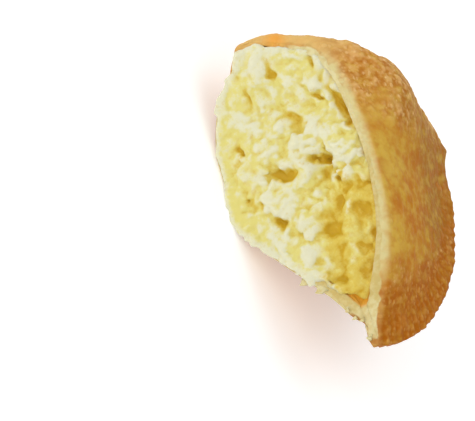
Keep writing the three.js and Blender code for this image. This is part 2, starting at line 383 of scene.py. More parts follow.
    def space(self, x, y):
        """Upper and lower side of the space inside the crust, and how far inside its rim."""
        at = self.station(x, y)
        top, bottom = self.heights(x, y, at)
        run = self.SLOPE_STEP * at["length"]
        beyond = self.heights(x, y, at, at["rho"] + self.SLOPE_STEP)
        high, low = (
            skin - side * self.crust * np.minimum(np.hypot(1, (after - skin) / run), self.STEEPEST)
            for side, skin, after in zip((1, -1), (top, bottom), beyond)
        )
        share = np.clip(at["rho"] / at["limit"], 0, 1)
        closing = np.maximum(1 - share**self.CLOSING, 0) ** 0.5
        half = np.maximum((high - low) / 2 * closing, self.LEAST_HALF)
        middle = (high + low) / 2
        return middle + half, middle - half, (at["limit"] - at["rho"]) * at["length"]

    def span(self, edge, y):
        """The ends of an outline on the line at y, at the crimp and at the fold."""
        far = int(np.argmax(edge[:, 1]))
        crimp = np.interp(y, edge[: far + 1, 1], edge[: far + 1, 0])
        fold = np.interp(y, edge[far:, 1][::-1], edge[far:, 0][::-1])
        return crimp, fold

    def lean_back(self, points):
        """Leans the cut back. The lean fades away from the cut."""
        fade = np.clip(1 - np.maximum(points[:, 1], 0) / self.reach, 0, 1) ** 2
        leaned = points.copy()
        leaned[:, 1] += self.lean * points[:, 2] * fade
        return leaned

    def to_frame(self, points):
        """From millimetres around the pole to metres in the frame."""
        return (points + self.place) * MM


# ---------------------------------------------------------------------------------------
# Meshes


def distances(chain):
    """How far along a chain of points each of them is."""
    steps = np.linalg.norm(np.diff(chain, axis=0), axis=1)
    return np.concatenate([[0.0], np.cumsum(steps)])


def read_along(chain, wanted):
    """The places on a chain that are these distances along it."""
    along = distances(chain)
    return np.stack([np.interp(wanted, along, values) for values in chain.T], axis=1)


def resample(chain, count):
    """A chain of points with this many points, evenly spaced."""
    return read_along(chain, np.linspace(0.0, distances(chain)[-1], count))


def evenly(chain, step):
    """A chain of points that are about a step apart."""
    length = np.linalg.norm(np.diff(chain, axis=0), axis=1).sum()
    return resample(chain, max(int(length / step), 4))


class Rows:
    """Rings of points along y, each made of four chains: top, fold, bottom and crimp."""

    def __init__(self):
        self.points, self.marks, self.triangles = [], [], []
        self.count = 0

    def ring(self, chains, mark):
        """Adds a ring of chains that share their ends, and returns each chain's indices."""
        first = self.count
        loop = np.concatenate([chain[:-1] for chain in chains])
        self.points.append(loop)
        self.marks.append(np.full(len(loop), float(mark)))
        self.count += len(loop)
        rings = []
        start = 0
        for chain in chains:
            size = len(chain)
            rings.append([first + (start + i) % len(loop) for i in range(size)])
            start += size - 1
        return rings

    def join(self, near, far):
        """Joins two rings, whatever the numbers of points in their chains."""
        for a, b in zip(near, far):
            i = j = 0
            last_a, last_b = len(a) - 1, len(b) - 1
            while i < last_a or j < last_b:
                if j == last_b or (i < last_a and (i + 1) * last_b <= (j + 1) * last_a):
                    self.triangles.append((a[i], b[j], a[i + 1]))
                    i += 1
                else:
                    self.triangles.append((a[i], b[j], b[j + 1]))
                    j += 1

    def cap(self, ring, flip):
        """Closes a ring with a fan around its middle."""
        loop = [index for chain in ring for index in chain[:-1]]
        points = np.concatenate(self.points)
        middle = points[loop].mean(axis=0)
        self.points.append(middle[None])
        self.marks.append(np.array([self.marks[-1][-1]]))
        for k, index in enumerate(loop):
            following = loop[(k + 1) % len(loop)]
            corners = (index, self.count, following)
            self.triangles.append(corners[::-1] if flip else corners)
        self.count += 1


def vertex_normals(points, triangles):
    """The outward direction at each point of a mesh."""
    a, b, c = (points[triangles[:, k]] for k in range(3))
    face = np.cross(b - a, c - a)
    normals = np.zeros_like(points)
    for k in range(3):
        np.add.at(normals, triangles[:, k], face)
    return normals / np.maximum(np.linalg.norm(normals, axis=1), 1e-12)[:, None]


def add_object(name, data):
    """A new object in the scene, at the origin."""
    thing = bpy.data.objects.new(name, data)
    bpy.context.scene.collection.objects.link(thing)
    return thing


def make_piece(name, node, material, form, points, faces, marks):
    """A smooth mesh piece that rides with the part and stands for a solid of the frame."""
    mesh = bpy.data.meshes.new(name)
    mesh.from_pydata(form.to_frame(points).tolist(), [], [list(map(int, face)) for face in faces])
    mesh.update()
    for label, values in marks.items():
        attribute = mesh.attributes.new(label, "FLOAT", "POINT")
        attribute.data.foreach_set("value", np.asarray(values, dtype=np.float32))
    mesh.shade_smooth()
    mesh.materials.append(material)
    piece = add_object(name, mesh)
    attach(piece, BODY)
    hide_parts(node)


# ---------------------------------------------------------------------------------------
# The crust


# How fine its mesh is: distances in millimetres and numbers of rings and points.
TOP_STEP = 0.36
BOTTOM_STEP = 0.85
SKIN_ROWS = 205
SKIN_END = 0.12  # the last ring of skin stops this far short of the tip
BAND_ROWS = 12
INNER_LIP = 0.5  # the inner edge of the cut lies this far in
BAND_SWELL = 0.5  # the cut band bulges forwards by this, over the upper side
BAND_DEPTH = 0.6
EDGE_POINTS = 6
OUTER_POINTS = 700
INNER_POINTS = 300
INNER_RING_POINTS = 60
INNER_DEPTHS = (1.0, 2.2, 4.0, 7.0, 11.0, 16.0, 22.0, 28.0, 34.0, 40.0, 45.0, 48.5)
FOLD_HOLLOW = -0.3  # the blunt nose of the fold bulges outwards by this


def chains_at(y, edge, form, sides, count):
    """Where a plane at y cuts two sides of the form: fine chains of x, z, above and below."""
    share = 0.5 - 0.5 * np.cos(np.pi * np.linspace(0, 1, count))
    x = mix(*form.span(edge, y), share)
    top, bottom = sides(x, np.full_like(x, y))[:2]
    return np.stack([x, top], axis=1), np.stack([x, bottom], axis=1)[::-1]


def inner_chains(form, y, count):
    """The outline of the space inside the crust at y."""
    return chains_at(y, form.inner_edge, form, form.space, count)


def blunt_end(start, end, bulge, count):
    """A short rounded chain between two chains' ends."""
    t = np.linspace(0, 1, count)[:, None]
    chain = start + (end - start) * t
    chain[:, 0] += bulge * np.sin(np.pi * t[:, 0])
    return chain


def ring_chains(top, bottom, bulge=0.0, count=EDGE_POINTS):
    """The four chains of a ring, from its upper and its lower one."""
    fold = blunt_end(top[-1], bottom[0], bulge, count)
    return [top, fold, bottom, blunt_end(bottom[-1], top[0], 0.0, count)]


def cut_rounding(x, z):
    """How far the skin rolls over the cut's edge: along the cut face, and along y."""
    at_fold = smoothstep(-x, 8.0, 33.0) * smoothstep(z, -20.0, -2.0)
    above = smoothstep(z, -6.0, 2.0)
    wander = 1 + 0.2 * Noise(CUT_SEED)(np.stack([x, z * 0, z], axis=1), 2.6)
    across = mix(mix(0.5, 1.2, above), 2.2, at_fold) * mix(1, 0.3, smoothstep(x, 30, 42)) * wander
    return across, mix(mix(0.7, 1.6, above), 3.8, at_fold)


def loop_normals(loop):
    """Inward normals of a closed loop of x, z points."""
    ahead = np.roll(loop, -1, axis=0) - np.roll(loop, 1, axis=0)
    ahead /= np.maximum(np.linalg.norm(ahead, axis=1), 1e-9)[:, None]
    return np.stack([-ahead[:, 1], ahead[:, 0]], axis=1)


def split_loop(loop, sizes):
    """Splits a closed loop back into its four chains."""
    closed = np.concatenate([loop, loop[:1]])
    starts = np.cumsum([0, *sizes]) - np.arange(len(sizes) + 1)
    return [closed[start : start + size] for start, size in zip(starts, sizes)]


def at_depth(chains, y):
    """Chains of x, z turned into chains of x, y, z."""
    return [np.stack([c[:, 0], np.full(len(c), y), c[:, 1]], axis=1) for c in chains]


# How far from the crimp the inner edge of the cut starts, and how softly it does.
INNER_START = 9.5
INNER_SOFTNESS = 2.2
# Beside the crimp the inner edge is drawn down and towards the rim, where the dough opens.
POCKET_DROP = 0.9
POCKET_REACH = 1.3


def facing(outer, inner, from_crimp):
    """For each point of a chain of the outer edge, the point that it faces on the inner one."""
    along = distances(outer)
    if not from_crimp:
        along = along[-1] - along
    moved = softplus((along - INNER_START) / INNER_SOFTNESS) * INNER_SOFTNESS
    least, most = moved.min(), moved.max()
    share = (moved - least) / (most - least)
    if not from_crimp:
        share = 1 - share
    return read_along(inner, share * distances(inner)[-1])


def inner_targets(form, chains):
    """For each point of the cut's outer edge, the point on its inner edge that faces it."""
    upper, lower = inner_chains(form, 0.0, form.OUTLINE_POINTS)
    lower[:, 1] -= POCKET_DROP * smoothstep(lower[:, 0], 22, 32)
    for inner in (upper, lower):
        inner[:, 0] += POCKET_REACH * smoothstep(inner[:, 0], 31, 37)
    return ring_chains(facing(chains[0], upper, True), facing(chains[2], lower, False))


def outer_skin(form, rows):
    """Rings of skin down to the tip. Returns the cut's ring, its chains and its outline."""
    # The rings lie closer together towards the tip.
    far = form.reach * math.sin(form.arc_sweep) - SKIN_END
    t = np.linspace(0, 1, SKIN_ROWS)
    first = previous = None
    for y in far * (0.55 * t + 0.45 * (1 - (1 - t) ** 2)):
        upper, lower = chains_at(y, form.edge, form, form.heights, OUTER_POINTS)
        chains = ring_chains(evenly(upper, TOP_STEP), evenly(lower, BOTTOM_STEP), FOLD_HOLLOW)
        sizes = [len(chain) for chain in chains]
        loop = np.concatenate([chain[:-1] for chain in chains])
        across, deep = cut_rounding(loop[:, 0], loop[:, 1])
        near = np.clip((deep - y) / deep, 0, 1)
        rolled = loop + loop_normals(loop) * (across * (1 - np.sqrt(1 - near**2)))[:, None]
        chains = split_loop(rolled, sizes)
        ring = rows.ring(at_depth(chains, y), 0)
        if previous is None:
            first = ring, chains, split_loop(loop, sizes)
        else:
            rows.join(previous, ring)
        previous = ring
    rows.cap(previous, False)
    return first


def build_crust_rows(form):
    """The crust as rings: down the outer skin, over the cut band and along the inside."""
    rows = Rows()
    previous, outer_chains, outline = outer_skin(form, rows)
    targets = inner_targets(form, outline)
    for k in range(1, BAND_ROWS + 1):
        share = k / BAND_ROWS
        chains = []
        for outer, inner, swells in zip(outer_chains, targets, (1, 1, 0, 0)):
            x, z = mix(outer, inner, share).T
            swell = -BAND_SWELL * swells * math.sin(math.pi * share) ** 0.7 * smoothstep(z, -10, -2)
            swell *= 1 - smoothstep(x, 30, 42)
            if k == BAND_ROWS:
                swell += INNER_LIP
            chains.append(np.stack([x, swell, z], axis=1))
        ring = rows.ring(chains, share)
        rows.join(ring, previous)
        previous = ring
    for y in INNER_DEPTHS:
        chains = [resample(chain, INNER_RING_POINTS) for chain in inner_chains(form, y, INNER_POINTS)]
        ring = rows.ring(at_depth(ring_chains(*chains), y), 1)
        rows.join(ring, previous)
        previous = ring
    rows.cap(previous, True)
    return rows


def scatter_blisters(weights, sizes, count, seed):
    """Random round blisters on the skin: the points at their centres, and their radii."""
    random = np.random.default_rng(seed)
    centres = random.choice(len(weights), size=count, replace=False, p=weights / weights.sum())
    return centres, mix(*sizes, random.random(count) ** 2)


def raise_blisters(points, tree, blisters, height, crater):
    """Heights of the skin over round blisters, with a sunken middle where they burst."""
    raised = np.zeros(len(points))
    for centre, radius in zip(*blisters):
        for _, index, distance in tree.find_range(points[centre], radius):
            share = distance / radius
            bump = (1 - share * share) ** 1.5
            bump -= crater * math.exp(-((share / CRATER_WIDTH) ** 2))
            raised[index] = max(raised[index], height * radius * bump)
    return raised


# Blisters: least and greatest radius, seed, height for the radius, and depth of the crater.
SMALL_BLISTERS = ((0.45, 1.15), 11, 0.30, 0.35)
LARGE_BLISTERS = ((1.3, 3.4), 12, 0.16, 0.0)
CRATER_WIDTH = 0.45

# The underside of the corner beside the fold is flat: a spot on it, and its upward direction.
CORNER_SPOT = (-36.2, -13.1)
CORNER_UP = (0.422, 0.0, 0.906)
BULGE = 2.0
BULGE_DIRECTION = (-0.85, 0.0, 0.5)


def fold_bulge(points):
    """How far the fold puffs out beside the cut."""
    x, y, z = points.T
    return BULGE * smoothstep(-x, 30, 36) * hill((z + 7.0) / 6.5, np.maximum(y, 0) / 12)


def below_corner(x, z):
    """How far below the flat underside of the corner, beside the fold, a place lies."""
    return -(x - CORNER_SPOT[0]) * CORNER_UP[0] - (z - CORNER_SPOT[1]) * CORNER_UP[2]


def corner_lift(points):
    """How far the underside is lifted beside the fold, at the cut."""
    x, y, z = points.T
    lift = softplus(below_corner(x, z) * 2) / 2 * smoothstep(-x, 26, 31)
    return lift * hill(np.maximum(y, 0) / 9)


def crust_surface(form, look):
    """Points, triangles and marks of the crust, in millimetres around the pole."""
    rows = build_crust_rows(form)
    points = np.concatenate(rows.points)
    marks = np.concatenate(rows.marks)
    triangles = np.array(rows.triangles)
    flat = points.copy()
    at = form.station(points[:, 0], np.maximum(points[:, 1], 0))
    stretch = (at["nub"] - form.SCALLOP * at["crimp"] * at["wave"]) * np.clip(at["rho"], 0, 1) ** 10
    stretch *= (marks == 0) / at["length"]
    points[:, 0] *= 1 + stretch
    points[:, 1] *= 1 + stretch
    points += fold_bulge(flat)[:, None] * BULGE_DIRECTION
    points += corner_lift(flat)[:, None] * CORNER_UP
    points = form.lean_back(points)
    normals = vertex_normals(points, triangles)
    skin = (marks == 0).astype(float)
    upper = skin * (normals[:, 2] > -0.2)

    # Blisters crowd on the upper side, by the fold and along the rim, and keep off the cut.
    tree = KDTree(len(points))
    for index, point in enumerate(points):
        tree.insert(point, index)
    tree.balance()
    noise = Noise(SKIN_SEED)
    crowded = 0.25 + 1.2 * smoothstep(-flat[:, 0], 2, 18)
    crowded += 0.5 * smoothstep(noise(points, 8.0), -0.1, 0.5)
    crowded += 0.7 * smoothstep(at["rho"], 0.72, 0.95)
    chance = skin * (0.35 + 0.65 * upper) * crowded
    chance *= smoothstep(flat[:, 1], 0.8, 2.5)
    blisters, bubbles = (
        raise_blisters(points, tree, scatter_blisters(chance, sizes, count, seed), height, crater)
        for count, (sizes, seed, height, crater) in (
            (look.small_blisters, SMALL_BLISTERS),
            (look.large_blisters, LARGE_BLISTERS),
        )
    )

    # Unevenness, each part as its height times a noise of its width, in millimetres.
    swell = 0.34 * noise(points, 13.0) + 0.16 * noise(points, 5.5) + 0.07 * noise.rough(points, 2.2)
    fine = 0.06 * noise.rough(points, 1.5)
    crumb = 0.28 * noise(points, 3.1) + 0.20 * noise.rough(points, 1.1)
    band = (marks > 0) & (flat[:, 1] < BAND_DEPTH)
    edge_fade = smoothstep(flat[:, 1], -0.5, 4.0)
    moved = skin * (edge_fade * swell + blisters + bubbles * edge_fade + fine)
    points += normals * moved[:, None]
    points[:, 1] += band * crumb
    points[:, 2] = np.maximum(points[:, 2], -form.rest_depth)
    return points, triangles, crust_marks(points, flat, at, marks, blisters, bubbles, noise)


def crust_marks(points, flat, at, marks, blisters, bubbles, noise):
    """What the material needs to know, from 0 to 1 at each point of the crust.

    The steps run over places and distances in millimetres: from where a mark starts to
    where it is full, or the other way about."""
    x, y, z = flat.T
    back = np.maximum(y, 0)
    inward = (1 - at["rho"]) * at["length"]
    low_turn = 1 - smoothstep(at["along"], 10, 75)
    rim = smoothstep(16 - inward, 0, 14) * at["crimp"]
    toast = rim * (0.35 + 0.75 * low_turn) + 0.22 * noise.rough(points, 9.0)
    toast += 0.55 * smoothstep(x, 22, 40) * smoothstep(at["rho"], 0.4, 0.8)
    toast += 0.45 * smoothstep(x, 14, 32) * smoothstep(y, 16, 32) + 0.3 * smoothstep(x, 34, 42)
    toast += 0.25 * smoothstep(-z, 2, 14)
    spared = mix(1, 0.6, smoothstep(x, 24, 30) * (1 - smoothstep(x, 35, 39)))
    toast *= mix(spared, 1, smoothstep(y, 3, 12))
    red = smoothstep(-x, 0, 20) + 0.25 * noise(points, 7.0)
    near_width = mix(24, 11, smoothstep(x, 4, 14)) * (1 + 0.4 * noise(points, 9.0))
    ochre = smoothstep(x, -28, -12) * hill(back / near_width)
    ochre *= 1 - smoothstep(x, 24, 38)
    # Painted shade: the skin darkens away from the cut towards the far rim, and in a patch on the upper
    # side.
    far = smoothstep(y + 7 * noise(points, 8.0), 8, 42) * smoothstep(x, -36, -22)
    far += 0.45 * hill((x + 13) / 9, (y - 18) / 9)
    glow = hill((z + 2.2) / 2.8) * smoothstep(-x, 28, 33) * (1 - smoothstep(y, 1, 4))
    strip_width = 0.8 + 0.4 * noise(flat * (1, 0, 0), 5.0)
    pale = np.exp(-((back / strip_width) ** 1.3))
    pale *= smoothstep(x, -34, -20) * (1 - 0.85 * smoothstep(x, 26, 36))
    under = smoothstep(x, 14, 24) * (1 - smoothstep(x, 37, 40)) * smoothstep(-z, 0.2, 1.4)
    pale = np.maximum(pale, under * hill(back / 1.8))
    roll = smoothstep(-x, 20, 33) * smoothstep(z, -18, -8)
    roll *= 1 - smoothstep(y + 3 * noise(points, 5.0), 2, 11)
    shade = smoothstep(at["rho"], 0.72, 1.0)
    on_band = marks > 0
    found = {
        "cut": on_band * smoothstep(marks + 0.12 * noise(flat, 1.5), 0, 0.35),
        "moist": on_band * smoothstep(y, -0.1, 0.7),
        "dense": smoothstep(x, -8, 10) * (1 - smoothstep(x, 34, 41)),
        "toast": toast,
        "red": red,
        "ochre": ochre,
        "far": far,
        "glow": glow,
        "pale": pale,
        "blister": blisters / 0.22 + bubbles / 0.8,
        "roll": roll * np.where(on_band, shade, 1.0),
        "groove": at["crimp"] * at["wave"] * smoothstep(10 - inward, 0, 5),
    }
    return {name: np.clip(values, 0, 1) for name, values in found.items()}


CRUST_MARKS = (
    "cut", "moist", "dense", "toast", "red", "ochre", "far", "glow", "pale", "blister", "roll", "groove",
)
LARGE_FLAKES = (27.0, 30.5)  # where the large shreds are along the cut
LARGE_FLAKE_LENGTH = 2.6
FLAKE_SIDES = 7
FLAKE_RINGS = 6


def flake(start, along, across, length, width, thick, random):
    """Points and triangles of one torn shred of dough, which tapers to a ragged point."""
    up = np.cross(along, across)
    turn = np.linspace(0, 2 * math.pi, FLAKE_SIDES, endpoint=False)
    points = []
    for share in np.linspace(0, 1, FLAKE_RINGS):
        size = (1 - share**1.6) * random.uniform(0.75, 1.15) + 0.08
        middle = start + along * length * share + up * length * 0.25 * share * share
        middle = middle + across * random.uniform(-0.2, 0.2) * width
        ring = np.cos(turn)[:, None] * across * width + np.sin(turn)[:, None] * up * thick
        points.append(middle + ring * size * random.uniform(0.8, 1.2, FLAKE_SIDES)[:, None])
    points = np.concatenate(points)
    triangles = []
    for row in range(FLAKE_RINGS - 1):
        for k in range(FLAKE_SIDES):
            a = row * FLAKE_SIDES + k
            b = row * FLAKE_SIDES + (k + 1) % FLAKE_SIDES
            triangles += [(a, b, b + FLAKE_SIDES), (a, b + FLAKE_SIDES, a + FLAKE_SIDES)]
    last = (FLAKE_RINGS - 1) * FLAKE_SIDES
    for k in range(1, FLAKE_SIDES - 1):
        triangles += [(0, k + 1, k), (last, last + k, last + k + 1)]
    return points, np.array(triangles)


def torn_flakes(form, look):
    """Shreds of dough that the knife tore out along the lower edge of the cut."""
    random = np.random.default_rng(FLAKE_SEED)
    points, triangles, count = [], [], 0
    for number in range(look.flakes):
        large = number < len(LARGE_FLAKES)
        x = LARGE_FLAKES[number] if large else random.uniform(37, 46)
        low, next_low = form.heights(np.array([x, x + 0.5]), np.zeros(2))[1]
        edge = unit(np.array([0.5, 0.0, next_low - low]))
        outward = np.array([edge[2], 0.0, -edge[0]])
        slant = random.uniform(-0.9, 0.3)
        along = unit(outward + edge * slant + np.array([0.0, random.uniform(-0.9, -0.2), 0.0]))
        across = unit(np.cross(along, np.array([0.0, 1.0, 0.0])))
        start = np.array([x, random.uniform(-0.3, 0.4), low]) - outward * random.uniform(0.5, 1.3)
        length = LARGE_FLAKE_LENGTH if large else random.uniform(0.8, 1.3)
        sizes = (length, length * random.uniform(0.4, 0.65), random.uniform(0.3, 0.5))
        part, faces = flake(start, along, across, *sizes, random)
        points.append(part)
        triangles.append(faces + count)
        count += len(part)
    marks = {name: np.zeros(count) for name in CRUST_MARKS}
    marks["cut"] += 1
    return form.lean_back(np.concatenate(points)), np.concatenate(triangles), marks


# ---------------------------------------------------------------------------------------
# The cheese


SLANT = -18  # how most forms of the golden side are turned, in degrees
# Hollows in the cut face: x, z, half sizes along x and z, depth, and turn in degrees.
HOLLOWS = (
    (-26.5, -4.8, 1.9, 0.9, 3.0, 15),
    (-22.4, -13.0, 2.4, 0.8, 2.4, -10),
    (-10.5, -19.6, 1.2, 1.1, 2.6, 0),
    (-13.0, -3.4, 2.8, 1.6, 2.8, 30),
    (-0.7, 0.0, 1.3, 2.2, 4.0, 0),
    (-0.2, -10.5, 1.6, 3.2, 3.6, -12),
    (-17.4, 3.8, 2.0, 0.9, 2.6, 25),
    (-25.6, 4.4, 1.3, 0.8, 2.6, 0),
    (16.8, -3.2, 2.5, 1.8, 3.8, SLANT),
    (10.8, 1.3, 2.0, 1.3, 3.2, SLANT),
    (9.1, 8.8, 1.4, 2.2, 3.4, SLANT),
    (14.6, 7.3, 1.5, 2.0, 4.2, SLANT),
    (21.4, 7.7, 1.5, 0.4, 4.0, SLANT),
    (23.7, 4.4, 1.4, 2.0, 4.2, SLANT),
    (28.4, 3.5, 1.8, 1.8, 4.6, SLANT),
    (28.8, -4.7, 1.5, 2.3, 3.0, SLANT),
    (34.8, -1.2, 1.9, 2.4, 2.6, SLANT),
    (6.1, 3.5, 1.0, 0.5, 3.0, SLANT),
    (10.0, -13.0, 1.5, 1.5, 2.8, 0),
    (-16.0, 0.5, 3.2, 2.2, 1.5, 20),
    (-21.0, 4.5, 2.8, 1.5, 1.3, 10),
    (3.2, 0.4, 2.4, 2.4, 2.2, SLANT),
    (-4.2, -9.5, 1.8, 2.6, 1.5, 0),
    (8.2, 4.6, 1.8, 2.2, 2.2, SLANT),
    (22.5, -3.0, 2.0, 1.6, 2.2, SLANT),
    (-9.0, -21.5, 3.0, 1.4, 1.4, 0),
    (3.0, -20.0, 2.6, 1.4, 1.6, 0),
    (1.6, -21.0, 1.4, 0.5, 2.2, 0),
    (4.9, -17.0, 1.6, 0.5, 2.4, 20),
    (-11.5, 9.9, 5.4, 1.2, 4.3, 11),
    (-2.0, 11.6, 5.0, 0.35, 2.4, 4),
    (-28.0, -13.5, 1.6, 0.7, 1.8, 10),
)

# Large soft lobes and shreds: x, z, half length, half thickness, how far they stand out,
# and turn in degrees.
LOBES = (
    (4.0, -14.0, 4.4, 2.8, 1.6, 15),
    (-2.2, -17.0, 3.4, 2.0, 1.4, 20),
    (7.8, -10.4, 2.8, 2.0, 1.2, 0),
    (-6.0, -3.4, 4.2, 2.4, 1.5, 10),
    (-9.6, 1.8, 3.2, 2.2, 1.4, 40),
    (-2.2, 4.0, 2.4, 1.7, 1.3, -20),
    (3.2, 6.2, 2.4, 1.6, 1.2, 0),
    (-30.0, -7.6, 3.4, 3.0, 1.2, 80),
    (-20.0, -7.0, 4.6, 3.0, 0.7, 60),
    (-17.0, -15.5, 4.4, 3.0, 0.8, 20),
    (-6.5, -11.0, 3.4, 2.4, 0.7, 80),
    (15.3, -7.5, 2.4, 2.4, 1.6, SLANT),
    (20.7, -8.9, 2.8, 2.0, 1.9, -30),
    (23.8, -7.6, 1.6, 2.8, 1.2, SLANT),
    (17.5, -14.6, 3.4, 1.4, 1.3, 20),
    (13.4, 3.9, 2.4, 1.9, 1.0, SLANT),
    (18.9, 3.2, 1.7, 3.4, 0.8, SLANT),
    (23.6, 1.0, 3.4, 1.9, 1.0, SLANT),
    (18.3, 1.6, 2.6, 1.6, 0.6, SLANT),
    (26.1, -10.5, 1.3, 2.2, 1.4, SLANT),
    (30.0, -9.7, 1.4, 2.9, 1.2, SLANT),
    (9.0, -4.6, 3.4, 2.2, 1.2, 80),
    (-21.0, 8.2, 4.4, 1.2, 0.9, 14),
)


def smooth_union(a, b, blend):
    """The union of two fields, with a rounded seam that is blend wide."""
    overlap = np.maximum(blend - np.abs(a - b), 0) / blend
    return np.maximum(a, b) + overlap * overlap * blend * 0.25


def turned(x, z, turn):
    """Places from the middle of a form that is turned in the cut's plane, along its axes."""
    c, s = math.cos(turn), math.sin(turn)
    return x * c + z * s, -x * s + z * c


def per_axis(axis, one, rest):
    """Something for each of three axes: one thing for this axis and another for the rest."""
    return tuple(one if k == axis else rest for k in range(3))


class Grid:
    """A block of space on which the cheese is worked out, finer towards the cut."""

    def __init__(self, low, high, step):
        self.x = np.arange(low[0], high[0] + step, step)
        self.z = np.arange(low[2], high[2] + step, step)
        y = [low[1]]
        while y[-1] < high[1]:
            y.append(y[-1] + step * (1 + 0.35 * max(y[-1] - 5.5, 0)))
        self.y = np.array(y)
        self.field = np.zeros((len(self.x), len(self.y), len(self.z)))

    def points(self):
        """The places of the grid's points."""
        return np.stack(np.meshgrid(self.x, self.y, self.z, indexing="ij"), axis=-1)

    def window(self, middle, reach):
        """The part of the grid within reach of a point, as slices and as coordinates."""
        slices = []
        for axis, centre in zip((self.x, self.y, self.z), middle):
            start, stop = np.searchsorted(axis, (centre - reach, centre + reach))
            slices.append(slice(max(start - 1, 0), stop + 1))
        x, y, z = (axis[s] for axis, s in zip((self.x, self.y, self.z), slices))
        return tuple(slices), x[:, None, None], y[None, :, None], z[None, None, :]

    def ellipsoid(self, middle, halves, turn, blend):
        """Joins an ellipsoid to the cheese."""
        window, x, y, z = self.window(middle, max(halves) + blend + 1.5)
        u, w = turned(x - middle[0], z - middle[2], turn)
        u, v, w = u / halves[0], (y - middle[1]) / halves[1], w / halves[2]
        shape = (1 - np.sqrt(u * u + v * v + w * w)) * min(halves)
        self.field[window] = smooth_union(self.field[window], shape, blend)

    def sample(self, values, points):
        """The values on the grid, read between its points."""
        places = []
        for k, axis in enumerate((self.x, self.y, self.z)):
            low = np.clip(np.searchsorted(axis, points[:, k]) - 1, 0, len(axis) - 2)
            share = np.clip((points[:, k] - axis[low]) / (axis[low + 1] - axis[low]), 0, 1)
            places.append(((low, 1 - share), (low + 1, share)))
        total = 0.0
        for i, weight_x in places[0]:
            for j, weight_y in places[1]:
                for k, weight_z in places[2]:
                    total = total + values[i, j, k] * weight_x * weight_y * weight_z
        return total

    def surface(self):
        """Closed surface of the field's inside: one point per mixed cell, one quad per
        mixed edge."""
        places = self.points()
        inside = self.field > 0
        shape = np.array(self.field.shape) - 1
        total = np.zeros((*shape, 3))
        number = np.zeros(shape)
        ends = (slice(0, -1), slice(1, None))
        for axis in range(3):
            low, high = (per_axis(axis, end, slice(None)) for end in ends)
            a, b = self.field[low], self.field[high]
            mixed = inside[low] != inside[high]
            share = np.where(mixed, a / np.where(mixed, a - b, 1), 0)[..., None]
            cross = (places[low] + share * (places[high] - places[low])) * mixed[..., None]
            for corner in np.ndindex(per_axis(axis, 1, 2)):
                part = tuple(slice(first, first + size) for first, size in zip(corner, shape))
                total += cross[part]
                number += mixed[part]
        used = number > 0
        index = np.full(shape, -1)
        index[used] = np.arange(used.sum())
        points = total[used] / number[used][:, None]

        quads = []
        for axis in range(3):
            u, v = np.eye(3, dtype=int)[[(axis + 1) % 3, (axis + 2) % 3]]
            a, b = (inside[per_axis(axis, end, slice(1, -1))] for end in ends)
            for leaving in (True, False):
                where = np.argwhere((a & ~b) if leaving else (~a & b))
                corners = [where, where + u, where + u + v, where + v]
                quad = np.stack([index[tuple(cells.T)] for cells in corners], axis=1)
                quads.append(quad if leaving else quad[:, ::-1])
        return points, np.concatenate(quads)


def blurred(values, times):
    """values smoothed over its neighbours along each axis, several times."""
    for _ in range(times):
        for axis in range(3):
            ahead = np.roll(values, 1, axis)
            behind = np.roll(values, -1, axis)
            values = (ahead + 2 * values + behind) / 4
    return values


CHEESE_FIT = 0.3  # the cheese is pressed this far into the dough
FRONT_BACK = 11.0
# The block of space that the front of the cheese is worked out in.
FRONT_LOW = (-39.5, -3.4, -26.3)
FRONT_HIGH = (38.0, 11.5, 13.0)


def cheese_bound(form, grid):
    """A field that is positive in the space that the cheese may fill.

    Under the seam it also spills forward over the cut edge of the dough."""
    flat_x, flat_y = np.meshgrid(grid.x, np.maximum(grid.y, 0), indexing="ij")
    x, y = flat_x.ravel(), flat_y.ravel()
    high, low, inward = form.space(x, y)
    at = form.station(x, y)
    skin_bottom = form.heights(x, y, at)[1]
    skin_inward = (1 - at["rho"]) * at["length"]
    noise = Noise(SPILL_SEED)
    ragged = noise(np.stack([x, y * 0, y * 0], axis=1), 4.0)
    front = np.tile(smoothstep(-grid.y, -0.2, 0.15), len(grid.x))
    # The spill over the lower wall, the puffed side at the fold and the pocket at the crimp.
    spill = front * np.clip(0.85 + 0.35 * ragged, 0.3, 1)
    spill *= smoothstep(-x, -38, -34) * smoothstep(x, -39, -36) * mix(1, 0.9, smoothstep(x, 16, 26))
    low = mix(low, skin_bottom + 0.35, spill)
    puffed = front * smoothstep(-x, 19, 26)
    high += 0.2 * front * smoothstep(-x, 8, 20) + 1.2 * puffed
    pocket = np.tile(1 - smoothstep(grid.y, 2.8, 4.6), len(grid.x))
    low -= 0.6 * front * smoothstep(x, 0, 10) + 0.7 * pocket * smoothstep(x, 24, 32)
    inward = mix(inward + 1.3 * puffed, skin_inward - 1.1, spill)
    inward += 1.3 * pocket * smoothstep(x, 28, 34)
    high, low, inward = (
        values.reshape(flat_x.shape)[..., None] for values in (high, low, inward)
    )
    bound = np.minimum(np.minimum(high - grid.z, grid.z - low), inward) + CHEESE_FIT
    beside_fold = smoothstep(-grid.x, 26, 31)[:, None]
    above = 10 * (1 - beside_fold) - below_corner(grid.x[:, None], grid.z[None, :]) - 0.9
    bound = np.minimum(bound, above[:, None, :])
    return np.minimum(bound, FRONT_BACK - grid.y[None, :, None])


def bend(points):
    """Moves points about in the cut's plane, so that edges worked out from them are ragged."""
    noise = Noise(BEND_SEED)
    flat = points * (1, 0, 1)
    bent = points.copy()
    for size, reach in ((4.5, 1.4), (1.6, 0.7)):
        bent[:, 0] += noise(flat + 31 * size, size) * reach
        bent[:, 2] += noise(flat + 57 * size, size) * reach
    return bent


# Swells of the cheese face: size, and how deep the creases between them are.
SWELLS = ((6.5, 2.3), (3.2, 1.2), (1.6, 0.4), (0.8, 0.08))
MEAN_SWELL = 0.33  # the noise's own mean, without its sign
FARTHEST_OUT = 2.2


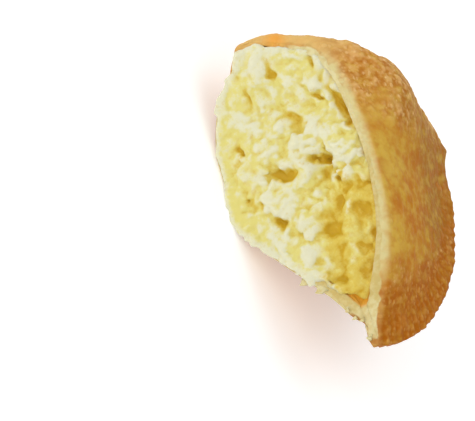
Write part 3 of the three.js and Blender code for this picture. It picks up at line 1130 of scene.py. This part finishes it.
def cheese_depth(form, grid, noise):
    """How deep the cheese's face lies behind the cut, on each line of the grid along y.

    It stands out low down and sinks in above, under swells, lobes and hollows."""
    flat = grid.points()[:, :1].reshape(-1, 3) * (1, 0, 1)
    x, _, z = flat.T
    bent = bend(flat)
    under = smoothstep(-z, 5, 17)
    depth = 1.0 - 1.9 * under - 0.4 * smoothstep(-x, 12, 24)
    depth += 0.6 * smoothstep(x, 4, 20) * smoothstep(z, -8, 3)
    depth += 0.6 * noise(flat, 9.0)
    depth -= 1.3 * smoothstep(-x, 21, 29) * smoothstep(z, -14, -7)
    side = golden_side(flat)
    lively = (1 - 0.35 * under) * mix(0.6, 1.0, smoothstep(x, -18, 0)) * (1 - 0.4 * side)
    for size, height in SWELLS:
        depth -= height * (np.abs(noise(bent + size, size)) - MEAN_SWELL) * lively
    depth -= whitened(bent)
    gild = gilded(bent)
    hollow = 1.2 * gild + 0.8 * smoothstep(gild, 0.35, 0.80)
    hollow += 1.5 * smoothstep(gild, 1.0, 1.4)
    depth += hollow * (1 - 0.62 * side) * mix(0.65, 1, smoothstep(x, -18, -8))

    # A hem along the lower wall stands out, and nothing stands out too far.
    wall = form.space(x, np.zeros(len(flat)))[1]
    hem = hill((bent[:, 2] - wall + 1.3) / 2.7) * (1 - smoothstep(bent[:, 0], 33, 37))
    depth = np.minimum(depth, mix(depth, -0.5 - 0.6 * smoothstep(x, 14, 24), hem * (1 - gild)))
    return softplus((depth + FARTHEST_OUT) * 3) / 3 - FARTHEST_OUT


def cheese_grid(form, look):
    """The cheese at the cut, as a field that is positive inside it."""
    grid = Grid(FRONT_LOW, FRONT_HIGH, look.grain / MM)
    noise = Noise(CHEESE_SEED)
    depth = cheese_depth(form, grid, noise)
    grid.field = grid.y[:, None] - depth.reshape(len(grid.x), 1, len(grid.z))

    # Large lumps, which the space inside the dough then cuts off.
    random = np.random.default_rng(LUMP_SEED)
    for _ in range(look.lumps):
        middle = (random.uniform(-36, 36), random.uniform(0.4, 1.6), random.uniform(-26, 13))
        long = random.uniform(1.2, 2.6)
        thick = random.uniform(0.8, 1.4)
        turn = random.uniform(0, math.pi)
        spot = np.array([middle])
        if gilded(spot)[0] < 0.3 and golden_side(spot)[0] < 0.6:
            grid.ellipsoid(middle, (long, thick, thick * random.uniform(0.8, 1.4)), turn, 1.4)
    bound = cheese_bound(form, grid)
    grid.field = -smooth_union(-grid.field, -bound * 0.8, 0.9)

    # Small curds on the face, few of them where the cheese is smooth and golden.
    inside = grid.field > 0
    reached = np.where(inside.any(axis=1), np.argmax(inside, axis=1), -1)
    filled = np.argwhere(reached >= 0)
    for i, k in filled[random.integers(0, len(filled), look.curds)]:
        spot = np.array([[grid.x[i], 0, grid.z[k]]])
        smooth = golden_side(spot)[0] + gilded(spot)[0] + smoothstep(-grid.x[i], 8, 16)
        if random.random() < 0.95 * smooth:
            continue
        size = random.uniform(0.35, 0.9)
        middle = (grid.x[i], grid.y[reached[i, k]] + 0.5 * size, grid.z[k])
        halves = (size * random.uniform(1, 2.2), size * 0.8, size)
        grid.ellipsoid(middle, halves, random.uniform(0, math.pi), 0.3)
    places = grid.points().reshape(-1, 3)
    rough = 0.11 * noise(places, 1.7) + 0.06 * noise(places, 0.9)
    grid.field += rough.reshape(grid.field.shape)
    for face in (0, -1):
        grid.field[face] = grid.field[:, face] = grid.field[:, :, face] = -1
    return grid


def nearness(points, spots):
    """How near each point is to one of the spots: x, z, half sizes, turn and strength."""
    near = np.zeros(len(points))
    for x, z, half_x, half_z, turn, strength in spots:
        u, w = turned(points[:, 0] - x, points[:, 2] - z, math.radians(turn))
        u, w = u / half_x, w / half_z
        near = np.maximum(near, np.exp(-(u * u + w * w) * 0.8) * strength)
    return near


def golden_side(points):
    """How far a point is into the smooth golden part, beside the crimp and the upper wall."""
    return smoothstep(points[:, 0], 2, 13) * smoothstep(points[:, 2], -11, -2)


def gilded(points):
    """How golden the cheese is at each point, from the hollows nearby. The gold of the hollows is painted
    shade.
    """
    return nearness(points, [
        (x, z, half_x + 0.4, half_z + 0.4, turn, min(deep / 3.4, 1.8))
        for x, z, half_x, half_z, deep, turn in HOLLOWS
    ])


def whitened(points):
    """How white the cheese is at each point, from the lobes nearby."""
    return nearness(points, [
        (x, z, long, thick, turn, min(out / 1.5, 1)) for x, z, long, thick, out, turn in LOBES
    ])


# The front's mesh is coarser than this depth, as nobody sees it there.
UNSEEN_DEPTH = 5.5
UNSEEN_CELL = 1.8
CELLS = 4000  # more than there are cells along any axis
# How often the filled space is blurred, for small and for broad relief. The blurs measure how sunken each
# point is, for the painted shade and light on the cheese.
FINE_BLUR = 5
BROAD_BLUR = 30


def cheese_front(form, look):
    """Points, quads and marks of the cheese at the cut."""
    grid = cheese_grid(form, look)
    points, quads = grid.surface()
    # The share of the space round each point that is filled, finely and broadly, tells how sunken it is.
    filled = np.clip(grid.field * MM / look.grain + 0.5, 0, 1).astype(np.float32)
    fine = blurred(filled, FINE_BLUR)
    broad = grid.sample(blurred(fine, BROAD_BLUR), points) - 0.5
    fine = grid.sample(fine, points) - 0.5
    bent = bend(points)
    side = golden_side(points)
    white = whitened(bent)
    gild = gilded(bent)
    gild = 0.6 * gild + 0.4 * smoothstep(gild, 0.35, 0.80)
    ceiling, wall, _ = form.space(points[:, 0], np.zeros(len(points)))
    border = 1 - smoothstep(np.minimum(ceiling - points[:, 2], points[:, 2] - wall), -0.5, 2.5)
    # Painted light and shade. The first mark darkens sunken places as painted shade. The second whitens
    # what stands out as painted light, and along the white lobes; it is lowered on the golden side and by
    # the walls as painted shade. The third is the golden cheese, with painted shade in the hollows and by
    # the walls.
    marks = {
        "crevice": fine + 4.2 * broad + 0.08,
        "stand": 0.45 - 0.8 * fine - 3.8 * broad + 0.6 * white - 0.55 * side - 0.45 * border,
        "gold": gild + 0.62 * side * (1 - 0.9 * white) + 0.12 * border,
    }
    quads = quads[largest_part(len(points), quads)]
    points, first, quads = coarsen(points, quads, UNSEEN_DEPTH, UNSEEN_CELL)
    marks = {name: np.clip(values, 0, 1)[first] for name, values in marks.items()}
    points = form.lean_back(points)
    points[:, 2] = np.maximum(points[:, 2], -form.rest_depth)
    return points, quads, marks


def largest_part(count, quads):
    """Which quads belong to the largest connected part."""
    part = np.arange(count)
    while True:
        least = part[quads].min(axis=1)
        before = part.copy()
        for k in range(4):
            np.minimum.at(part, quads[:, k], least)
        part = part[part]
        if (part == before).all():
            break
    names, sizes = np.unique(part[quads[:, 0]], return_counts=True)
    return part[quads[:, 0]] == names[sizes.argmax()]


def coarsen(points, quads, depth, cell):
    """Merges the points deeper than depth into cells, as nobody sees them.

    Returns the points, the old number of each, and the faces."""
    deep = points[:, 1] > depth
    key = np.floor(points / cell).astype(np.int64) + CELLS // 4
    code = (key[:, 0] * CELLS + key[:, 1]) * CELLS + key[:, 2]
    code = np.where(deep, code, -1 - np.arange(len(points)))
    used = np.unique(quads)
    _, first, group = np.unique(code[used], return_index=True, return_inverse=True)
    first = used[first]
    renamed = np.zeros(len(points), dtype=np.int64)
    renamed[used] = group
    merged = renamed[quads]
    faces = []
    seen = set()
    for quad in merged:
        corners = [c for k, c in enumerate(quad) if c != quad[k - 1]]
        if len(set(corners)) == len(corners) and len(corners) > 2:
            name = tuple(sorted(corners))
            if name not in seen:
                seen.add(name)
                faces.append(corners)
    return points[first], first, faces


CORE_DEPTHS = (9.5, 14.0, 20.0, 26.0, 32.0, 38.0, 43.0, 47.0)
CORE_GAP = 0.35
CORE_FINE = 200  # points on a chain when it is worked out
CORE_POINTS = 40
CORE_EDGE_POINTS = 3


def cheese_core(form):
    """The cheese behind the front: rings of the space inside the crust."""
    rows = Rows()
    previous = None
    for y in CORE_DEPTHS:
        chains = inner_chains(form, y, CORE_FINE)
        for chain, shift in zip(chains, (-CORE_GAP, CORE_GAP)):
            chain[:, 1] += shift
        kept = (resample(chain, CORE_POINTS) for chain in chains)
        chains = ring_chains(*kept, count=CORE_EDGE_POINTS)
        ring = rows.ring(at_depth(chains, y), 0)
        if previous is None:
            rows.cap(ring, True)
        else:
            rows.join(previous, ring)
        previous = ring
    rows.cap(previous, False)
    points = form.lean_back(np.concatenate(rows.points))
    flat = np.zeros(len(points))
    # The hidden core takes the colours of the deep hollows, with their painted shade.
    return points, np.array(rows.triangles), {"crevice": flat + 0.6, "stand": flat, "gold": flat + 1}


# ---------------------------------------------------------------------------------------
# Materials


def add_node(tree, kind, settings=None, sockets=None, output=0):
    """Adds a node: its settings first, then the values or wires of its sockets."""
    node = tree.nodes.new(kind)
    for name, value in (settings or {}).items():
        setattr(node, name, value)
    for name, value in (sockets or {}).items():
        place = node.inputs[name]
        if isinstance(value, Wire):
            tree.links.new(value.socket, place)
        elif hasattr(place.default_value, "__len__"):
            place.default_value = (*value, 1.0)[: len(place.default_value)]
        else:
            place.default_value = value
    return Wire(tree, node.outputs[output]) if node.outputs else node


class Wire:
    """A socket that can stand in plain sums. Each operator adds a Math node."""

    def __init__(self, tree, socket):
        self.tree = tree
        self.socket = socket

    def math(self, operation, *values, clamp=False):
        """Adds a Math node."""
        settings = {"operation": operation, "use_clamp": clamp}
        return add_node(self.tree, "ShaderNodeMath", settings, dict(enumerate(values)))

    def __add__(self, other):
        return self.math("ADD", self, other)

    __radd__ = __add__

    def __sub__(self, other):
        return self.math("SUBTRACT", self, other)

    def __rsub__(self, other):
        return self.math("SUBTRACT", other, self)

    def __mul__(self, other):
        return self.math("MULTIPLY", self, other)

    __rmul__ = __mul__

    def clamped(self):
        """Kept between 0 and 1."""
        return self.math("ADD", self, 0.0, clamp=True)

    def above(self, low, high):
        """0 under low, 1 over high, and smooth between."""
        sockets = {"Value": self, "From Min": low, "From Max": high}
        return add_node(self.tree, "ShaderNodeMapRange", {"interpolation_type": "SMOOTHSTEP"}, sockets)


class Recipe:
    """A material that is being put together."""

    def __init__(self, name):
        self.material = bpy.data.materials.new(name)
        self.material.use_nodes = True
        self.tree = self.material.node_tree
        self.tree.nodes.clear()
        self.place = self.node("ShaderNodeTexCoord", output="Object")

    def node(self, kind, settings=None, sockets=None, output=0):
        """Adds a node to the material."""
        return add_node(self.tree, kind, settings, sockets, output)

    def marks(self, *names):
        """The marks of these names that the mesh carries."""
        return [self.node("ShaderNodeAttribute", {"attribute_name": name}, None, "Fac") for name in names]

    def vector(self, operation, sockets):
        """Adds a Vector Math node."""
        return self.node("ShaderNodeVectorMath", {"operation": operation}, sockets)

    def noise(self, place, size, detail=2.0, roughness=0.5):
        """Noise from 0 to 1 whose swells are about size millimetres across."""
        sockets = {"Vector": place, "Scale": 1 / (size * MM), "Detail": detail, "Roughness": roughness}
        return self.node("ShaderNodeTexNoise", None, sockets)

    def dots(self, size):
        """Scattered round dots of random widths, up to about size millimetres across."""
        waver = {"Vector": self.place, "Scale": 0.7 / (size * MM)}
        waver = self.node("ShaderNodeTexNoise", None, waver, "Color")
        waver = self.vector("SCALE", {"Vector": waver, "Scale": 0.5 * size * MM})
        sockets = {"Vector": self.vector("ADD", {0: self.place, 1: waver}), "Scale": 1 / (size * MM)}
        away = self.node("ShaderNodeTexVoronoi", None, sockets, "Distance")
        chance = self.node("ShaderNodeTexVoronoi", None, sockets, "Color")
        chance = self.node("ShaderNodeSeparateColor", None, {"Color": chance}, "Red")
        return (chance * 0.75 - 0.25 - away).above(-0.05, 0.12)

    def blend(self, share, first, second):
        """Mixes two colours: the numbers are those of the Mix node's sockets for colours."""
        return self.node("ShaderNodeMix", {"data_type": "RGBA"}, {0: share, 6: first, 7: second}, 2)

    def relief(self, *layers):
        """Bumps on top of each other: the height, millimetres and strength of each."""
        below = {}
        for height, distance, strength in layers:
            sockets = {"Height": height, "Distance": distance * MM, "Strength": strength, **below}
            below = {"Normal": self.node("ShaderNodeBump", None, sockets)}
        return below["Normal"]

    def finish(self, sockets):
        """Adds the surface shader and the output."""
        surface = self.node("ShaderNodeBsdfPrincipled", None, sockets)
        self.node("ShaderNodeOutputMaterial", None, {"Surface": surface})
        return self.material


def crust_material(look):
    """Fried dough: golden, ochre and toasted skin with pale blisters, painted shade away from the cut, and
    a pale crumb.
    """
    recipe = Recipe("fried_crust")
    place = recipe.vector("MULTIPLY", {0: recipe.place, 1: (1, 0.55, 0.85)})
    large = recipe.noise(place, 13.0)
    broad = recipe.noise(place, 8.0, 3.0, 0.55)
    mottle = recipe.noise(place, 4.2, 2.0, 0.55)
    patch = recipe.noise(place, 3.0)
    spots = recipe.noise(place, 2.2)
    grain = recipe.noise(place, 1.5)
    fine = recipe.noise(place, 0.7, 2.0, 0.6)
    cut, moist, dense, toast, red, near, far, glow, edge, blister, roll, groove = recipe.marks(*CRUST_MARKS)

    calm = 1 - red * 0.6 - near * 0.25
    rough = (red * 0.8 + toast * 0.9 + (broad - 0.5) * 1.2).above(0.1, 0.8)
    brown = (toast + (broad - 0.5) * 1.1 + (patch - 0.5) * 0.8).above(0.0, 1.0)
    blotch = (large * 0.6 + mottle * 0.5 + patch * 0.2).above(0.56, 0.78) * 0.85
    bright = spots.above(0.44, 0.70)
    dots = recipe.dots(1.5) + recipe.dots(1.0) * 0.5
    raised = grain.above(0.46, 0.72) * 0.4 + dots * 0.6 + blister * 0.55
    rolled = recipe.blend((glow + (patch - 0.5) * 0.5).clamped(), look.roll, look.glow)
    skin = look.golden
    for share, colour in (
        ((near * 0.9 + (mottle - 0.45) * 1.4).clamped(), look.ochre),
        ((red + broad - 0.5).clamped() * 0.85, look.tan),
        ((blotch * calm).clamped(), look.blotch),
        # Painted shade, darkest towards the far rim.
        ((far + (mottle - 0.5) * 0.9).clamped() * far * 0.8, look.distant),
        (brown * 0.95, look.toasted),
        (bright * (0.5 - brown * 0.4), look.ochre),
        (bright * brown * 0.45, look.golden),
        (((1 - spots).above(0.44, 0.74) * calm * 0.6).clamped(), look.blotch),
        ((1 - grain).above(0.42, 0.66) * (0.10 + rough * 0.45), look.toasted),
        ((raised * (0.08 + rough * 0.75)).clamped(), recipe.blend(brown, look.blister, look.tan)),
        (groove * 0.35, look.toasted),
        ((edge * (1 + (spots - 0.5) * 1.4 + (grain - 0.5) * 0.8)).clamped(), look.pale),
        (roll * 0.85, rolled),
    ):
        skin = recipe.blend(share, skin, colour)

    dense = recipe.noise(place, 1.6, 3.0, 0.6).above(0.35, 0.7) * 0.6 + dense * 0.6
    crumb = recipe.blend(dense.clamped(), look.crumb, look.crumb_dark)
    crumb = recipe.blend(moist, crumb, look.moist)
    inside = (cut - roll * 1.3 + (fine - 0.5) * 0.5).above(0.25, 0.75)
    return recipe.finish({
        "Base Color": recipe.blend(inside, skin, crumb),
        "Roughness": 0.5 + fine * 0.16 + inside * 0.2,
        "Normal": recipe.relief((grain + dots * 0.5, 0.16, 0.8), (fine, 0.06, 0.6), (patch, 0.3, 0.5)),
        "Subsurface Weight": 0.10,
        "Subsurface Radius": (0.0016, 0.0009, 0.0004),
        "Subsurface Scale": 1.0,
        "IOR": 1.45,
        "Specular IOR Level": 0.05,
        "Coat Weight": (1 - inside) * 0.02,
        "Coat Roughness": 0.32,
    })


def cheese_material(look):
    """Melted curds: white where they stand out, partly as painted light, and yellow to ochre in the hollows
    as painted shade.
    """
    recipe = Recipe("cheese")
    broad = recipe.noise(recipe.place, 6.0)
    patch = recipe.noise(recipe.place, 2.2, 3.0, 0.55)
    crumbs = recipe.noise(recipe.place, 1.3, 3.0, 0.65)
    fine = recipe.noise(recipe.place, 0.6, 3.0, 0.6)
    crevice, stand, gold = recipe.marks("crevice", "stand", "gold")

    uneven = (patch - 0.5) * 0.5 + (crumbs - 0.5) * 1.2 + (fine - 0.5) * 0.5
    # How deep in painted shade each point is: from how sunken it is, from the hollows and from the golden
    # cheese.
    depth = crevice * 0.7 + gold * 0.9 + uneven
    colour = look.cream
    for share, over in (
        ((stand + (broad - 0.5) * 0.9 + uneven).above(0.24, 1.00), look.white),
        (depth.above(0.10, 0.75) * 0.95, look.yellow),
        (depth.above(0.65, 1.30) * 0.95, look.ochre),
    ):
        colour = recipe.blend(share, colour, over)
    return recipe.finish({
        "Base Color": colour,
        "Roughness": 0.42 + fine * 0.2,
        "Normal": recipe.relief((fine, 0.1, 0.4), (crumbs, 0.3, 0.4), (patch, 0.22, 0.4)),
        "Subsurface Weight": 0.4,
        "Subsurface Radius": (0.0020, 0.0019, 0.0015),
        "Subsurface Scale": 1.0,
        "IOR": 1.42,
        "Specular IOR Level": 0.25,
        "Coat Weight": 0.03,
        "Coat Roughness": 0.25,
    })


def floor_material(look):
    """A plain pale floor."""
    recipe = Recipe("floor")
    light = [min(value * 1.02, 1.0) for value in look.floor]
    return recipe.finish({
        "Base Color": recipe.blend(recipe.noise(recipe.place, 40.0), look.floor, light),
        "Roughness": 0.8,
        "Emission Color": (1.0, 1.0, 1.0),
        "Emission Strength": 0.26,
    })


# ---------------------------------------------------------------------------------------
# Operators


class TURNOVER_OT_crust(Operator):
    """Builds the blistered crust with its crimped rim and its cut edge"""

    bl_idname = "turnover.crust"
    bl_label = "Crust"

    def execute(self, context):
        form = Turnover(context.scene.turnover_shape)
        look = context.scene.crust_look
        material = crust_material(look)
        make_piece("crust_shell", "crust", material, form, *crust_surface(form, look))
        make_piece("torn_flakes", "crust", material, form, *torn_flakes(form, look))
        return {"FINISHED"}


class TURNOVER_OT_cheese(Operator):
    """Builds the cheese: its curds at the cut and the mass behind them"""

    bl_idname = "turnover.cheese"
    bl_label = "Cheese"

    def execute(self, context):
        form = Turnover(context.scene.turnover_shape)
        look = context.scene.cheese_look
        material = cheese_material(look)
        make_piece("cheese_curds", "filling", material, form, *cheese_front(form, look))
        make_piece("cheese_core", "filling", material, form, *cheese_core(form))
        return {"FINISHED"}


class TURNOVER_OT_stage(Operator):
    """Lays the floor, hangs the lights and sets the camera"""

    bl_idname = "turnover.stage"
    bl_label = "Stage"

    def execute(self, context):
        lay_floor(context.scene.stage_look)
        hang_lights(context)
        set_camera(context)
        return {"FINISHED"}


def lay_floor(look):
    """A large flat floor that the part rests on."""
    half = look.floor_size / 2
    mesh = bpy.data.meshes.new("floor")
    corners = [(-half, -half, 0), (half, -half, 0), (half, half, 0), (-half, half, 0)]
    mesh.from_pydata(corners, [], [(0, 1, 2, 3)])
    mesh.materials.append(floor_material(look))
    add_object("floor", mesh)


# Name, place in metres, size, power in watts and colour.
LIGHTS = (
    ("key", (-0.42, -0.95, 0.55), 0.9, 4.0, (1.0, 0.98, 0.95)),
    ("fill", (0.9, -0.6, 0.75), 0.9, 2.0, (1.0, 0.98, 0.96)),
    ("top", (-0.1, 0.25, 1.2), 1.2, 3.0, (1.0, 1.0, 1.0)),
)
LIT_SPOT = Vector((0, 0, 0.02))
SKY = 0.64  # the sky's strength


def hang_lights(context):
    """Large soft lamps that face the part, and an even pale sky."""
    for name, spot, size, power, colour in LIGHTS:
        data = bpy.data.lights.new(name, "AREA")
        data.shape = "DISK"
        data.size = size
        data.energy = power
        data.color = colour
        light = add_object(name, data)
        light.location = spot
        light.rotation_euler = (LIT_SPOT - light.location).to_track_quat("-Z", "Y").to_euler()
    world = bpy.data.worlds.new("studio")
    world.use_nodes = True
    background = world.node_tree.nodes["Background"].inputs
    background["Color"].default_value = (1.0, 1.0, 1.0, 1.0)
    background["Strength"].default_value = SKY
    context.scene.world = world


CAMERA_TURN = math.radians(-17.35)  # round the part, from facing the cut towards the crimp
CAMERA_RISE = math.radians(33.27)
CAMERA_ROLL = math.radians(63.85)
CAMERA_DISTANCE = 0.480
CAMERA_LENS = 141.63
CAMERA_TARGET = (-0.00513, -0.02564, -0.00403)


def set_camera(context):
    """A camera that looks down on the cut, rolled over to one side."""
    rise, turn = CAMERA_RISE, CAMERA_TURN
    back = Vector((-math.sin(turn) * math.cos(rise), -math.cos(turn) * math.cos(rise), math.sin(rise)))
    right = Vector((math.cos(turn), -math.sin(turn), 0.0))
    up = back.cross(right)
    roll = Matrix.Rotation(CAMERA_ROLL, 3, back)
    axes = roll @ Matrix((right, up, back)).transposed()
    data = bpy.data.cameras.new("camera")
    data.lens = CAMERA_LENS
    data.sensor_width = 36.0
    data.clip_start = 0.02
    data.clip_end = 20.0
    camera = add_object("camera", data)
    spot = Vector(CAMERA_TARGET) + back * CAMERA_DISTANCE
    camera.matrix_world = Matrix.Translation(spot) @ axes.to_4x4()
    context.scene.camera = camera
    context.scene.view_settings.view_transform = "Standard"


class TURNOVER_PT_panel(Panel):
    """Lists the steps that build the turnover"""

    bl_idname = "TURNOVER_PT_panel"
    bl_label = "Fried cheese turnover"
    bl_space_type = "VIEW_3D"
    bl_region_type = "UI"
    bl_category = "Turnover"

    def draw(self, context):
        for group in ("turnover_shape", "crust_look", "cheese_look", "stage_look"):
            settings = getattr(context.scene, group)
            box = self.layout.box()
            for name in settings.__annotations__:
                box.prop(settings, name)
        for step in STEPS:
            self.layout.operator(step.bl_idname)


STEPS = (TURNOVER_OT_stage, TURNOVER_OT_crust, TURNOVER_OT_cheese)
GROUPS = {
    "turnover_shape": TurnoverShape,
    "crust_look": CrustLook,
    "cheese_look": CheeseLook,
    "stage_look": StageLook,
}


def register():
    """Registers the settings, the steps and the panel."""
    for group in GROUPS.values():
        bpy.utils.register_class(group)
    for name, group in GROUPS.items():
        setattr(bpy.types.Scene, name, PointerProperty(type=group))
    for step in STEPS:
        bpy.utils.register_class(step)
    bpy.utils.register_class(TURNOVER_PT_panel)


def unregister():
    """Takes back what register did."""
    bpy.utils.unregister_class(TURNOVER_PT_panel)
    for step in reversed(STEPS):
        bpy.utils.unregister_class(step)
    for name in GROUPS:
        delattr(bpy.types.Scene, name)
    for group in reversed(GROUPS.values()):
        bpy.utils.unregister_class(group)


def main():
    """Builds the stage and every piece."""
    register()
    bpy.ops.turnover.stage()
    bpy.ops.turnover.crust()
    bpy.ops.turnover.cheese()


if __name__ == "__main__":
    main()
